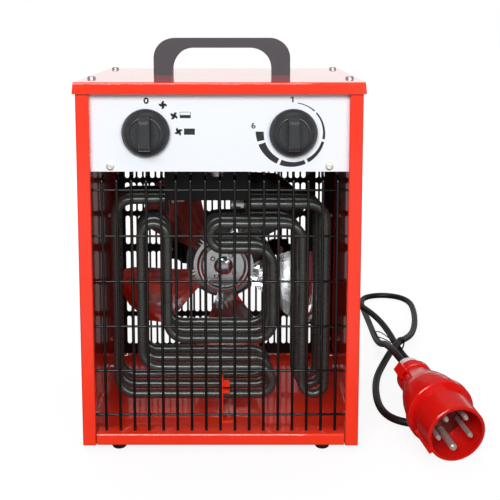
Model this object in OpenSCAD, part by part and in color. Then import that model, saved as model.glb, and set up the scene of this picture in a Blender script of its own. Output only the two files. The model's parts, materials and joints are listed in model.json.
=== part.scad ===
// Portable electric fan heater: a sheet steel box with three tubular heating elements, an axial
// fan behind them, a control panel on top, a carrying handle, and a lead with an industrial plug.
// X is to the right seen from the front, Y is to the rear and Z is up. The feet stand on Z = 0.

/* [Casing] */
// Width over the two side panels
case_w = 260; // [250:1:280]
// Depth from the front flanges to the rear flanges
case_d = 250; // [246:1:262]
// Height from the underside of the base tray to the top of the cover
case_h = 343; // [330:1:356]
// Thickness of the casing's sheet steel
sheet_t = 1; // [0.8:0.1:1.2]
// Outside radius of the folds in the sheet steel
bend_r = 1.8; // [1.5:0.1:2.4]
// Width of the side panels' front flanges
front_flange_w = 12.5; // [10:0.5:14]
// Depth of the lip behind each front flange
front_lip_d = 6; // [5:0.5:7]
// Width of the side panels' rear flanges
rear_flange_w = 12.5; // [10:0.5:13]
// Height of the base tray's front lip
tray_lip_h = 11.5; // [9:0.5:12.5]
// Depth of the ledge behind the base tray's front lip
tray_ledge_d = 17; // [13:0.5:19]
// Height of the folded skirt of the top cover
cover_skirt_h = 10.6; // [9:0.2:13]
// How far the cover's skirt splays out at its lower edge
cover_splay = 1.2; // [0.8:0.1:1.6]
// Gap between the cover's skirt and the side panels
cover_gap = 0.3; // [0.2:0.1:0.4]

/* [Control panel] */
// How far the control panel reaches down from the top of the cover
fascia_drop = 82; // [79:0.5:84]
// Distance of each knob's centre from the casing's side
knob_inset = 63; // [57:1:68]
// Distance of the knobs' centres below the top of the cover
knob_drop = 46.3; // [44.3:0.5:47.8]
// Diameter of a knob's skirt
knob_d = 44; // [40:1:48]
// How far the knobs stand out in front of the casing
knob_proud = 14.5; // [13:0.5:16]
// Width of a knob's grip bar
grip_w = 9.6; // [8:0.2:11]
// Diameter of the control spindles
spindle_d = 6; // [5:0.5:6.5]
// Distance of each control panel screw from the casing's side
fascia_screw_inset = 30; // [24:1:34]

/* [Grilles] */
// Number of upright wires in the front grille
wire_count = 17; // [13:2:17]
// Spacing of the upright wires
wire_pitch = 13.56; // [13:0.02:13.6]
// Diameter of the upright wires
wire_d = 2.7; // [2.2:0.1:3]
// Diameter of the cross wires
cross_wire_d = 2.2; // [1.8:0.1:2.6]
// Spacing of the cross wires
cross_pitch = 43.3; // [42:0.1:44]
// Number of slots across the rear panel
slot_columns = 32; // [26:2:32]
// Spacing of the slots across the rear panel
slot_pitch = 7.35; // [7:0.05:7.4]
// Width of a slot
slot_w = 5; // [4:0.2:5.4]
// Height of the bridge between one row of slots and the next
slot_bridge = 5.5; // [4:0.1:6.5]
// Height of the plain band between the two groups of rows
slot_band = 8.4; // [7:0.1:9.5]

/* [Heating elements] */
// Diameter of the element tube
tube_d = 9; // [7.5:0.1:9.4]
// Radius of the tube's bends, at the middle of the tube
tube_bend = 17; // [12:0.5:18]
// Distance of the first element behind the casing's front
element_front = 60; // [56:1:64]
// Distance from one element to the next
element_step = 27; // [26:0.5:28]
// How far to the left each element's loops stand of those in front of them
element_sidestep = 2.5; // [0:0.5:3]

/* [Fan and motor] */
// Gap between the blades' tips and the duct's floor and ceiling
fan_gap = 14; // [11:0.5:24]
// Number of blades
blade_count = 5; // [4:1:6]
// Thickness of the blades' sheet
blade_t = 1; // [0.8:0.1:1.4]
// Distance of the blades' plate in front of the casing's back
fan_from_back = 82; // [80:1:85]
// Diameter of the motor shaft
shaft_d = 8; // [6:0.5:9]
// Diameter of the motor's can
motor_d = 84; // [76:1:88]

/* [Handle and feet] */
// Width over the handle
handle_w = 138; // [130:1:150]
// Height of the handle above the cover
handle_h = 37; // [35:1:44]
// Depth of the handle, front to back
handle_d = 24; // [20:1:28]
// Thickness of the handle's bar
handle_bar = 9.6; // [9:0.2:12]
// Width of each of the handle's legs
handle_leg = 18.5; // [17:0.5:21]
// Height of the rubber feet
foot_h = 7; // [5:0.5:9]
// Diameter of the rubber feet
foot_d = 14; // [12:0.5:16]
// Distance of the feet from the casing's sides
foot_inset = 33; // [30:1:40]
// Distance of the feet from the casing's front and back
foot_from_end = 13; // [11:1:30]

/* [Lead and plug] */
// Diameter of the lead
lead_d = 7.8; // [7:0.1:7.8]
// Outside diameter of the plug's shroud
shroud_d = 56; // [55:0.5:57]
// Diameter of the plug's flange
plug_flange_d = 66; // [65:0.5:67]
// Diameter of the circle on which the pins stand
pin_circle_d = 33; // [32:0.5:34]
// Diameter of the line and neutral pins
pin_d = 5; // [4.8:0.1:5.2]
// Diameter of the earth pin
earth_pin_d = 7; // [6.8:0.1:7.2]

/* [Hidden] */
$fn = 48;

// Colours
paint_red = "#ff3f2c";
soft_black = "#2b2b2d";
bright_steel = "#c9ccd0";

// Clearances
touch = 0.2;          // between pieces that are fitted together
screw_clear = 0.1;    // around a screw in its hole, on the radius
running = 0.05;       // between a turning shaft and its bore, on the radius
lead_clear = 0.2;     // round the lead in its bores, on the radius

// Casing
half_w = case_w / 2;
inner_w = half_w - sheet_t;
cover_over = sheet_t + cover_gap;
front_y = knob_proud - (knob_proud + case_d + cover_over + cover_splay) / 2;
rear_y = front_y + case_d;
base_z = foot_h;
floor_z = base_z + sheet_t;
top_z = base_z + case_h;
shell_top = top_z - sheet_t;
panel_y = rear_y - 2 * sheet_t;
seam = 0.8;
tray_flange_h = 14;
cover_tab_w = 15;
cover_tab_inset = 14;
cover_screw_inset = 7.5;
cover_screw_depths = [52, case_d - 22];
side_screw_depths = [60, case_d - 60];
foot_x = half_w - foot_inset;
side_screw_r = 2;
small_screw_r = 1.5;

// Control panel
fascia_z = top_z - fascia_drop;
knob_x = half_w - knob_inset;
knob_z = top_z - knob_drop;
fascia_y = front_y + front_lip_d;
fascia_back = fascia_y + sheet_t;
fascia_screw_x = half_w - fascia_screw_inset;
fascia_screw_z = fascia_z + 5;
bushing_r = spindle_d / 2 + 1.9;
knob_back = fascia_y - 0.8;
knob_h = knob_back - (front_y - knob_proud);
spindle_front = knob_back - 12;

// Divider between the control box and the air duct
divider_z = fascia_z;
divider_top = divider_z + sheet_t;
divider_flange_h = 14;

// The fan turns in the middle of the duct's height
fan_z = (floor_z + divider_z) / 2;
fan_r = (divider_z - floor_z) / 2 - fan_gap;

// Slotted rear panel: three rows of slots below the plain band and three above it
slot_first_z = base_z + 15;
slot_last_z = divider_z - 11.5;
slot_l = (slot_last_z - slot_first_z - slot_band - 4 * slot_bridge) / 6;
slot_step = slot_l + slot_bridge;
slot_rows = [for (g = [0, 1], r = [0 : 2]) slot_first_z + (3 * g + r) * slot_step
    + g * (slot_band - slot_bridge)];
gland_x = 100;
gland_row = 1;
gland_z = slot_rows[gland_row] + 12.7;
gland_out_y = panel_y + sheet_t;

// Front grille
wire_y = front_y + 8.5;
cross_y = wire_y + (wire_d + cross_wire_d) / 2 - 0.35;
wire_first_x = -(wire_count - 1) / 2 * wire_pitch;
wire_foot_z = base_z + 6;
wire_hook = 9;
wire_bend = 3.5;
wire_top = divider_z - 7.3;
cross_first_z = base_z + 26.5;
cross_wire_half = inner_w - 2;

// Fan, motor
plate_y = rear_y - fan_from_back;
hub_r = 33;
blade_root_r = hub_r - 3;
cap_h = 5.5;
shaft_tip_y = plate_y - cap_h + 1.5;
motor_y = plate_y + 15;
motor_l = 42;
motor_back = motor_y + motor_l;
bracket_t = 2;
bracket_h = 24;
bracket_foot_x = 65;

// Heating elements: the heights of their level runs, up from the tray and down from the divider
run_1 = floor_z + 26.3;
run_2 = floor_z + 54;
run_3 = floor_z + 83.4;
run_4 = divider_z - 85.6;
run_5 = divider_z - 60.5;
run_6 = divider_z - 41;
run_7 = divider_z - 36;
box_left = -54;
box_right = 28;
outer_x = half_w - 27;
element_ys = [for (i = [0 : 2]) front_y + element_front + i * element_step];
box_front = element_ys[0] - 13;
box_back = element_ys[2] + 10;
box_bottom = run_6 - 7;
cheek_drop = run_7 + 1.5 - box_bottom;

// The route of element i from the left terminal to the right one, seen from the front
function element_route(i) = let (back = [-i * element_sidestep, 0]) [
    [box_left + 6, run_7], each [for (p = [
        [-outer_x, run_7], [-outer_x, run_1], [50.5, run_1], [50.5, run_2], [-79, run_2],
        [-79, run_5], [-53, run_5], [-53, run_3], [51, run_3], [51, run_4], [-11, run_4],
        [-11, run_5], [80, run_5], [80, run_1], [outer_x, run_1], [outer_x, run_6]
    ]) p + back], [box_right - 6, run_6]
];

// Handle
handle_y = front_y + case_d / 2;
handle_outer_r = 20;
handle_inner_r = 22;
handle_hole_x = handle_w / 2 - handle_leg / 2;

// Plug: the middle of its mouth, how far it is turned from the front towards the right, and how
// far its mouth dips, because it rests on its flange and the rim of its shroud
plug_mouth = [218, -141, 27.9];
plug_yaw = 11;
plug_dip = 7.3;
plug_l = 119;
shroud_l = 38;
plug_nut_l = 16;
plug_nut_r = 13.4;

// The points that steer the lead's curve over the floor: out of the strain relief, round in a
// loop to the front, over itself into a second loop behind, and back over both into the plug
lead_route = [
    [gland_x, gland_out_y, gland_z], [gland_x, 158, gland_z], [gland_x, 200, gland_z],
    [103, 220, 71.5], [115, 245, 63], [139, 263, 49], [167, 266, 34], [192, 253, 21.5],
    [205, 226, 12.5], [210, 190, 7.2], [212, 150, 5.4], [218, 110, 4.9], [230, 62, 4.1],
    [236, 14, 4.1], [236, -30, 4.1], [225.5, -55.5, 4.1], [200, -66, 4.1], [174.5, -55.5, 4.1],
    [164, -30, 4.1], [164, 10, 4.1], [171, 62, 4.1], [185, 102, 5.5], [203, 137, 16.2],
    [218, 166, 14], [238, 210, 4.6], [253, 270, 4.1], [260, 328, 4.1], [261, 362, 4.1],
    [250.5, 387.5, 4.1], [225, 398, 4.1], [199.5, 387.5, 4.1], [189, 362, 4.1], [190, 310, 4.1],
    [190, 247, 4.1], [189, 190, 5.5], [187, 134, 19], [184, 86, 37], [183, 43, 48],
    [187.9, 14, 48.1], [195.1, -23.2, 43.3]
];
// Where the tie goes round the two strands that cross: across them, and along them
tie_low = [212, 5.9];
tie_high = [213.7, 14.3];
tie_y = 156.5;

// ---------------------------------------------------------------- outlines and tubes

function unit(v) = v / norm(v);
function left_of(v) = [-v.y, v.x];
function cross2(u, v) = u.x * v.y - u.y * v.x;

// The points of the arc of radius r that rounds the corner b between a and c
function corner_arc(a, b, c, r, steps = 5) =
    let (u = unit(a - b), v = unit(c - b), half = acos(u * v) / 2)
    let (centre = b + unit(u + v) * r / sin(half), start = b + u * r / tan(half) - centre)
    let (first = atan2(start.y, start.x), turn = sign(cross2(-u, v)) * (180 - 2 * half))
    [for (i = [0 : steps]) centre + r * [cos(first + turn * i / steps), sin(first + turn * i / steps)]];

// A line of points with each corner rounded to radius r
function rounded(points, r) = [
    points[0],
    for (i = [1 : len(points) - 2]) each corner_arc(points[i - 1], points[i], points[i + 1], r),
    points[len(points) - 1]
];

// The same line moved t to its left
function moved_left(line, t) = [
    for (i = [0 : len(line) - 1])
        let (last = len(line) - 1)
        let (before = unit(line[max(i, 1)] - line[max(i, 1) - 1]))
        let (after = unit(line[min(i + 1, last)] - line[min(i + 1, last) - 1]))
        let (side = unit(left_of(before) + left_of(after)))
        line[i] + side * t / (side * left_of(after))
];

function backwards(line) = [for (i = [len(line) - 1 : -1 : 0]) line[i]];

// Section of folded sheet: points run along its outside, with the sheet on their left
module folded(points, r = bend_r, t = sheet_t) {
    outside = rounded(points, r);
    polygon(concat(outside, backwards(moved_left(outside, t))));
}

// Extrudes an outline drawn as (y, z) along X, from x0 to x1
module along_x(x0, x1) {
    translate([x0, 0, 0]) rotate([90, 0, 90]) linear_extrude(x1 - x0) children();
}

// Extrudes an outline drawn as (x, z) along Y, from y0 to y1
module along_y(y0, y1) {
    translate([0, y1, 0]) rotate([90, 0, 0]) linear_extrude(y1 - y0) children();
}

// A cylinder along +Y
module rod_y(r, h) {
    rotate([-90, 0, 0]) cylinder(r = r, h = h);
}

// A cylinder along +X
module rod_x(r, h) {
    rotate([0, 90, 0]) cylinder(r = r, h = h);
}

// Turns a profile drawn as (radius, distance) about the Y axis
module turned_y() {
    rotate([-90, 0, 0]) rotate_extrude() children();
}

// Length that bend number i of a route takes from each leg beside it
function bend_at(route, i, r) = min([
    r, norm(route[i] - route[i - 1]) / 2, norm(route[i + 1] - route[i]) / 2
]);

module tube_leg(a, b, d) {
    way = b - a;
    translate([a.x, 0, a.y]) rotate([0, atan2(way.x, way.y), 0]) cylinder(d = d, h = norm(way));
}

module tube_elbow(a, b, c, r, d) {
    u = unit(b - a);
    v = unit(c - b);
    centre = b - u * r + v * r;
    first = atan2(-v.y, -v.x);
    turn = cross2(u, v);
    translate([centre.x, 0, centre.y]) rotate([90, 0, 0])
        rotate([0, 0, turn > 0 ? first : first - 90])
            rotate_extrude(angle = 90) translate([r, 0]) circle(d = d);
}

// A round tube along a route of (x, z) points that turns square corners
module tube_run(route, r, d) {
    last = len(route) - 1;
    for (i = [0 : last - 1]) {
        way = unit(route[i + 1] - route[i]);
        a = route[i] + (i == 0 ? 0 : bend_at(route, i, r)) * way;
        b = route[i + 1] - (i == last - 1 ? 0 : bend_at(route, i + 1, r)) * way;
        if (norm(b - a) > 0.01) tube_leg(a, b, d);
    }
    for (i = [1 : last - 1])
        tube_elbow(route[i - 1], route[i], route[i + 1], bend_at(route, i, r), d);
}

// A pan head screw whose head rests on Z = 0 and whose shank points down
module pan_screw(head_r, shank_r, length) {
    head_h = head_r * 0.6;
    recess = head_r * 0.32;
    difference() {
        rotate_extrude() polygon([
            [0, 0], [head_r, 0], [head_r, head_h * 0.35],
            for (a = [15 : 15 : 75])
                [head_r * (0.45 + 0.55 * cos(a)), head_h * (0.35 + 0.65 * sin(a))],
            [head_r * 0.3, head_h], [0, head_h]
        ]);
        for (turn = [0, 90]) rotate([0, 0, turn])
            translate([-head_r * 0.55, -recess / 2, head_h * 0.45])
                cube([head_r * 1.1, recess, head_h]);
    }
    translate([0, 0, -length]) cylinder(r = shank_r, h = length);
}

module nut(across, bore_r, h) {
    difference() {
        cylinder(r = across / 2 / cos(30), h = h, $fn = 6);
        translate([0, 0, -1]) cylinder(r = bore_r, h = h + 2, $fn = 32);
    }
}

// ---------------------------------------------------------------- casing

side_screw_zs = [base_z + tray_flange_h / 2 + 1, divider_top + 5];
rear_screw_zs = [base_z + 22, base_z + case_h / 2, top_z - 26];

module side_panel() {
    difference() {
        union() {
            translate([0, 0, base_z]) linear_extrude(shell_top - touch - base_z) folded([
                [half_w - front_flange_w, front_y + front_lip_d],
                [half_w - front_flange_w, front_y],
                [half_w, front_y], [half_w, rear_y], [half_w - rear_flange_w, rear_y]
            ]);
            translate([half_w - cover_tab_w, front_y + cover_tab_inset, shell_top - sheet_t])
                cube([cover_tab_w - sheet_t / 2, case_d - 2 * cover_tab_inset, sheet_t]);
        }
        for (d = cover_screw_depths)
            translate([half_w - cover_screw_inset, front_y + d, shell_top - 3])
                cylinder(r = 2 + screw_clear, h = 6);
        for (d = side_screw_depths, z = side_screw_zs)
            translate([half_w - 3, front_y + d, z]) rod_x(side_screw_r + screw_clear, 6);
        for (z = rear_screw_zs)
            translate([half_w - rear_flange_w / 2, rear_y - 3, z]) rod_y(side_screw_r + screw_clear, 6);
    }
}

module right_side() color(paint_red) side_panel();

module left_side() color(paint_red) mirror([1, 0, 0]) side_panel();

module base_tray() color(paint_red) {
    lip_half = half_w - front_flange_w - seam;
    wing_y = front_y + front_lip_d + seam;
    difference() {
        union() {
            along_x(-lip_half, lip_half) folded([
                [front_y + tray_ledge_d, base_z + tray_lip_h], [front_y, base_z + tray_lip_h],
                [front_y, base_z], [rear_y, base_z], [rear_y, base_z + tray_flange_h]
            ]);
            for (side = [0, 1]) mirror([side, 0, 0]) along_y(wing_y, panel_y - 3) folded([
                [lip_half - 5, base_z], [inner_w, base_z], [inner_w, base_z + tray_flange_h]
            ]);
        }
        for (x = [-foot_x, foot_x], y = foot_ys)
            translate([x, y, base_z - 1]) cylinder(r = foot_stem_r + screw_clear, h = 4);
        for (i = [0 : wire_count - 1])
            translate([wire_first_x + i * wire_pitch, wire_y, base_z + tray_lip_h - 3])
                cylinder(d = wire_d + 2 * screw_clear, h = 5);
        for (side = [-1, 1], d = side_screw_depths)
            translate([side * inner_w - 3, front_y + d, side_screw_zs[0]])
                rod_x(side_screw_r + screw_clear, 6);
        for (y = support_screw_ys)
            translate([support_screw_x, y, base_z - 1]) cylinder(r = small_screw_r + screw_clear, h = 4);
    }
}

module top_cover() color(paint_red) {
    difference() {
        union() {
            along_x(-half_w - cover_over, half_w + cover_over) folded([
                [rear_y + cover_over + cover_splay, top_z - cover_skirt_h],
                [rear_y + cover_over, top_z], [front_y - cover_over, top_z],
                [front_y - cover_over - cover_splay, top_z - cover_skirt_h]
            ]);
            along_y(front_y - cover_over, rear_y + cover_over) folded([
                [half_w + cover_over + cover_splay, top_z - cover_skirt_h],
                [half_w + cover_over, top_z], [-half_w - cover_over, top_z],
                [-half_w - cover_over - cover_splay, top_z - cover_skirt_h]
            ]);
        }
        for (side = [-1, 1], d = cover_screw_depths)
            translate([side * (half_w - cover_screw_inset), front_y + d, top_z - 3])
                cylinder(r = 2 + screw_clear, h = 6);
        for (side = [-1, 1])
            translate([side * handle_hole_x, handle_y, top_z - 3])
                cylinder(r = 2.5 + screw_clear, h = 6);
    }
}

// One slot with round ends, its lower end at (0, 0)
module slot() {
    translate([-slot_w / 2, slot_w / 2]) square([slot_w, slot_l - slot_w]);
    for (z = [slot_w / 2, slot_l - slot_w / 2]) translate([0, z]) circle(d = slot_w);
}

// The slots behind the cable gland's flange are left out
function slot_is_cut(x, row) = row != gland_row || abs(x - gland_x) > 16;

module rear_grille() color(soft_black) {
    difference() {
        along_y(panel_y, panel_y + sheet_t) difference() {
            translate([-inner_w + 1, floor_z + bend_r])
                square([2 * inner_w - 2, shell_top - 1 - floor_z - bend_r]);
            for (c = [0 : slot_columns - 1], row = [0 : 5]) {
                x = (c - (slot_columns - 1) / 2) * slot_pitch;
                if (slot_is_cut(x, row)) translate([x, slot_rows[row]]) slot();
            }
            translate([gland_x, gland_z]) circle(r = 8 + screw_clear);
            for (side = [-1, 1]) {
                translate([side * bracket_foot_x, fan_z]) circle(r = 2 + screw_clear);
                for (z = rear_screw_zs)
                    translate([side * (half_w - rear_flange_w / 2), z])
                        circle(r = side_screw_r + screw_clear);
            }
        }
    }
}

module control_fascia() color("#eef2f7") {
    along_y(fascia_y, fascia_back) difference() {
        translate([-inner_w + 1, fascia_z]) square([2 * inner_w - 2, shell_top - 1.5 - fascia_z]);
        for (side = [-1, 1]) {
            translate([side * knob_x, knob_z]) circle(r = bushing_r + screw_clear);
            translate([side * fascia_screw_x, fascia_screw_z]) circle(r = small_screw_r + screw_clear);
        }
    }
}

module divider_plate() color("#3a3a3c") {
    edge = inner_w - touch;
    difference() {
        union() {
            along_x(-edge + 12, edge - 12) folded([
                [panel_y - touch, divider_z], [fascia_back, divider_z],
                [fascia_back, divider_top + divider_flange_h]
            ], t = -sheet_t);
            for (side = [0, 1]) mirror([side, 0, 0]) along_y(front_y + 12, panel_y - 3) folded([
                [edge - 20, divider_z], [edge, divider_z], [edge, divider_top + 10]
            ]);
        }
        for (side = [-1, 1]) {
            translate([side * fascia_screw_x, fascia_back - 1, fascia_screw_z])
                rod_y(small_screw_r + screw_clear, 4);
            for (d = side_screw_depths)
                translate([side * inner_w - 3, front_y + d, side_screw_zs[1]])
                    rod_x(side_screw_r + screw_clear, 6);
        }
        translate([gland_x, lead_y, divider_z - 1]) cylinder(r = 6.5, h = 4);
        translate([bulb_x, bulb_y, divider_z - 1]) cylinder(r = 2, h = 4);
    }
}

// ---------------------------------------------------------------- grille wires

module front_grille() color("#1c1c1d") {
    for (i = [0 : wire_count - 1])
        translate([wire_first_x + i * wire_pitch, wire_y, 0]) rotate([0, 0, 90]) tube_run([
            [0, wire_foot_z], [0, wire_top], [wire_hook, wire_top], [wire_hook, divider_z - touch]
        ], wire_bend, wire_d);
    for (k = [0 : 5])
        translate([-cross_wire_half, cross_y, cross_first_z + k * cross_pitch])
            rod_x(cross_wire_d / 2, 2 * cross_wire_half);
}

// ---------------------------------------------------------------- handle, feet and fasteners

module handle_outline(w, h, r) {
    translate([-w / 2 + r, 0]) square([w - 2 * r, h]);
    translate([-w / 2, 0]) square([w, h - r]);
    intersection() {
        for (x = [-w / 2 + r, w / 2 - r]) translate([x, h - r]) circle(r = r, $fn = 96);
        translate([-w / 2, 0]) square([w, h]);
    }
}

module handle() color("#464648") {
    difference() {
        translate([0, 0, top_z]) along_y(handle_y - handle_d / 2, handle_y + handle_d / 2)
            difference() {
                handle_outline(handle_w, handle_h, handle_outer_r);
                translate([0, -1]) handle_outline(
                    handle_w - 2 * handle_leg, handle_h - handle_bar + 1, handle_inner_r);
            }
        for (side = [-1, 1]) translate([side * handle_hole_x, handle_y, top_z - 1])
            cylinder(r = 2.5 + screw_clear, h = 17);
    }
}

module handle_screws() color(bright_steel) {
    for (side = [-1, 1]) translate([side * handle_hole_x, handle_y, shell_top])
        rotate([180, 0, 0]) pan_screw(4.8, 2.5, 15);
}

module cover_screws() color(bright_steel) {
    for (side = [-1, 1], d = cover_screw_depths)
        translate([side * (half_w - cover_screw_inset), front_y + d, top_z]) pan_screw(4, 2, 8);
}

module fascia_screws() color(bright_steel) {
    for (side = [-1, 1]) translate([side * fascia_screw_x, fascia_y, fascia_screw_z])
        rotate([90, 0, 0]) pan_screw(3.6, small_screw_r, 6);
}

module side_screws() color(bright_steel) {
    for (side = [0, 1], d = side_screw_depths, z = side_screw_zs) mirror([side, 0, 0])
        translate([half_w, front_y + d, z]) rotate([0, 90, 0]) pan_screw(3.8, side_screw_r, 7);
}

module rear_screws() color(bright_steel) {
    for (side = [-1, 1], z = rear_screw_zs)
        translate([side * (half_w - rear_flange_w / 2), rear_y, z])
            rotate([-90, 0, 0]) pan_screw(3.6, side_screw_r, 7);
}

foot_stem_r = 3;
foot_ys = [front_y + foot_from_end, rear_y - foot_from_end];

module feet() color("#1a1a1a") {
    r = foot_d / 2;
    for (x = [-foot_x, foot_x], y = foot_ys) translate([x, y, 0]) rotate_extrude() polygon([
        [0, 0], [r * 0.62, 0], [r * 0.82, 0.5], [r * 0.95, 1.5], [r, 2.8], [r, foot_h],
        [foot_stem_r, foot_h], [foot_stem_r, floor_z + touch / 2],
        [foot_stem_r + 1, floor_z + touch / 2], [foot_stem_r + 0.6, floor_z + 1.5],
        [foot_stem_r - 0.8, floor_z + 3], [0, floor_z + 3]
    ]);
}

// ---------------------------------------------------------------- heating elements

module heating_element(i) color("#4b4f4c") {
    translate([0, element_ys[i], 0]) tube_run(element_route(i), tube_bend, tube_d);
}

module heating_element_front() heating_element(0);

module heating_element_middle() heating_element(1);

module heating_element_rear() heating_element(2);

// Where the six element ends pass through the housing's cheeks: side, x of the cheek's outside, z
element_ends = [[-1, box_left, run_7], [1, box_right, run_6]];

module terminal_housing() color(soft_black) {
    difference() {
        translate([box_left, box_front, box_bottom])
            cube([box_right - box_left, box_back - box_front, divider_z - box_bottom]);
        translate([box_left + sheet_t, box_front + sheet_t, box_bottom - 1])
            cube([box_right - box_left - 2 * sheet_t, box_back - box_front - 2 * sheet_t,
                divider_z - box_bottom + 1 - sheet_t]);
        translate([box_left + 4, box_front - 1, box_bottom - 1])
            cube([box_right - box_left - 8, box_back - box_front + 2, cheek_drop + 1]);
        for (e = element_ends, y = element_ys)
            translate([e[1] - 3, y, e[2]]) rod_x(tube_d / 2 + screw_clear, 6);
    }
}

module element_nuts() color("#b39a5c") {
    for (e = element_ends, y = element_ys)
        translate([e[1] - e[0] * sheet_t, y, e[2]]) rotate([0, -90 * e[0], 0])
            nut(14, tube_d / 2 + screw_clear, 3);
}

// A ceramic bead and a threaded pin on the end of each element
module element_pins() color("#e6e2d8") {
    for (e = element_ends, y = element_ys)
        translate([e[1] - e[0] * 6, y, e[2]]) rotate([0, -90 * e[0], 0]) {
            cylinder(r = 3.4, h = 3);
            cylinder(r = 2, h = 12);
        }
}

support_x = 0;
support_t = 1.5;
support_screw_x = support_x + support_t + 6;
support_screw_ys = [element_ys[0] + 8, element_ys[2] - 8];

// An upright comb that the lower runs of the elements rest in, with a foot and two finger tabs
module element_support() color(paint_red) {
    tube_z = run_1;
    tooth_top = tube_z + 17;
    gap_r = tube_d / 2 + 0.3;
    front = element_ys[0] - 9;
    back = element_ys[2] + 9;
    along_x(support_x, support_x + support_t) difference() {
        translate([front, floor_z]) square([back - front, tooth_top - floor_z]);
        for (y = element_ys) {
            translate([y, tube_z]) circle(r = gap_r);
            translate([y - gap_r, tube_z]) square([2 * gap_r, 30]);
        }
    }
    difference() {
        translate([support_x, front, floor_z]) cube([12, back - front, support_t]);
        for (y = support_screw_ys) translate([support_screw_x, y, floor_z - 1])
            cylinder(r = small_screw_r + screw_clear, h = support_t + 2);
    }
    for (z = [[tooth_top - 6.5, 6.5], [tooth_top - 13, 3.5]])
        translate([support_x, front, z[0]]) cube([8, support_t, z[1]]);
}

module support_screws() color(bright_steel) {
    for (y = support_screw_ys) translate([support_screw_x, y, base_z]) rotate([180, 0, 0])
        pan_screw(2.6, small_screw_r, 6);
}

// ---------------------------------------------------------------- fan and motor

module motor() color("#8b8e92") {
    r = motor_d / 2;
    translate([0, motor_y, fan_z]) difference() {
        union() {
            turned_y() polygon([
                [0, -6], [9, -6], [9, 0], [r - 16, 0], [r - 3, 4], [r - 3, 9], [r, 9], [r, motor_l - 9],
                [r - 3, motor_l - 9], [r - 3, motor_l - 4], [r - 16, motor_l], [0, motor_l]
            ]);
            for (a = [45 : 90 : 315]) rotate([0, a, 0]) translate([r - 4, 3, 0]) rod_y(4, motor_l - 6);
        }
        translate([0, -8, 0]) rod_y(shaft_d / 2 + running, motor_l - 8);
        for (a = [0 : 60 : 300]) rotate([0, a, 0]) translate([r * 0.5, -1, 0]) rod_y(4.5, 5);
    }
}

module motor_bracket() color(soft_black) {
    foot_in = bracket_foot_x - 10;
    foot_out = bracket_foot_x + 10;
    difference() {
        translate([0, 0, fan_z - bracket_h / 2]) linear_extrude(bracket_h) folded([
            [-foot_out, panel_y], [-foot_in, panel_y], [-foot_in + 8, motor_back + bracket_t],
            [foot_in - 8, motor_back + bracket_t], [foot_in, panel_y], [foot_out, panel_y]
        ], r = 2.5, t = -bracket_t);
        for (side = [-1, 1]) {
            translate([side * bracket_foot_x, panel_y - 4, fan_z]) rod_y(2 + screw_clear, 6);
            translate([side * 24, motor_back - 1, fan_z]) rod_y(2 + screw_clear, 6);
        }
    }
}

module motor_screws() color(bright_steel) {
    for (side = [-1, 1]) translate([side * bracket_foot_x, 0, fan_z]) {
        translate([0, panel_y + sheet_t, 0]) rotate([-90, 0, 0]) pan_screw(3.4, 2, 8);
        translate([0, panel_y - bracket_t - 3, 0]) rotate([-90, 0, 0]) nut(7, 2 + screw_clear, 3);
    }
}

module motor_shaft() color(bright_steel) {
    translate([0, shaft_tip_y, fan_z]) rod_y(shaft_d / 2, motor_y - shaft_tip_y + motor_l - 20);
}

// The turned boss that carries the blades' plate on the shaft
module fan_hub() color("#b9bcc0") {
    translate([0, plate_y, fan_z]) difference() {
        turned_y() polygon([
            [0, blade_t], [20, blade_t], [20, blade_t + 2.5], [11, blade_t + 3.5], [10, blade_t + 7],
            [0, blade_t + 7]
        ]);
        translate([0, -1, 0]) rod_y(shaft_d / 2 + touch / 4, 12);
        for (a = rivet_angles) rotate([0, a, 0]) translate([rivet_ring, 0, 0])
            rod_y(1.6 + screw_clear, 12);
    }
}

rivet_ring = 14;
rivet_angles = [-56, 34, 124, 214];

module fan_rivets() color("#d5d7da") {
    translate([0, plate_y, fan_z]) for (a = rivet_angles) rotate([0, a, 0])
        translate([rivet_ring, 0, 0]) {
            rod_y(1.6, blade_t + 2.4);
            translate([0, -1.2, 0]) turned_y() polygon([[0, 0], [1.6, 0], [2.8, 0.7], [2.8, 1.2], [0, 1.2]]);
        }
}

// The low domed cap on the end of the shaft
module fan_cap() color("#d5d7da") {
    translate([0, plate_y - cap_h, fan_z]) difference() {
        turned_y() polygon([
            [0, 0], for (a = [15 : 15 : 90]) [10.4 * sin(a), 3.4 * (1 - cos(a))], [10.4, cap_h], [0, cap_h]
        ]);
        translate([0, 1.2, 0]) rod_y(shaft_d / 2 + touch / 4, cap_h);
    }
}

// A blade's outline: half its angle at a radius, and how far it is swept back there
function blade_half(f) = 18 + 6 * sin(min(f * 1.5, 1) * 90) - 14 * pow(f, 9);
function blade_lag(f) = 9 * pow(f, 6);
// How far a point of the blade stands in front of or behind the plate
function blade_rise(f, s) = s * (5 + 9 * f) + 3.5 * f * (1 - s * s) - 1.5 * f;

blade_rings = 9;
blade_chords = 6;

function blade_point(f, s, back) =
    let (r = blade_root_r + (fan_r - blade_root_r) * f)
    let (a = s * blade_half(f) - blade_lag(f), inset = 0.15 * max(0, 1 - 5 * f))
    [r * cos(a), blade_rise(f, s) * min(f * 5, 1) + (back ? blade_t - inset : inset), r * sin(a)];

blade_points = [
    for (back = [false, true], i = [0 : blade_rings], j = [0 : blade_chords])
        blade_point(i / blade_rings, 2 * j / blade_chords - 1, back)
];

function at(back, i, j) = ((back ? 1 : 0) * (blade_rings + 1) + i) * (blade_chords + 1) + j;

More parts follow.
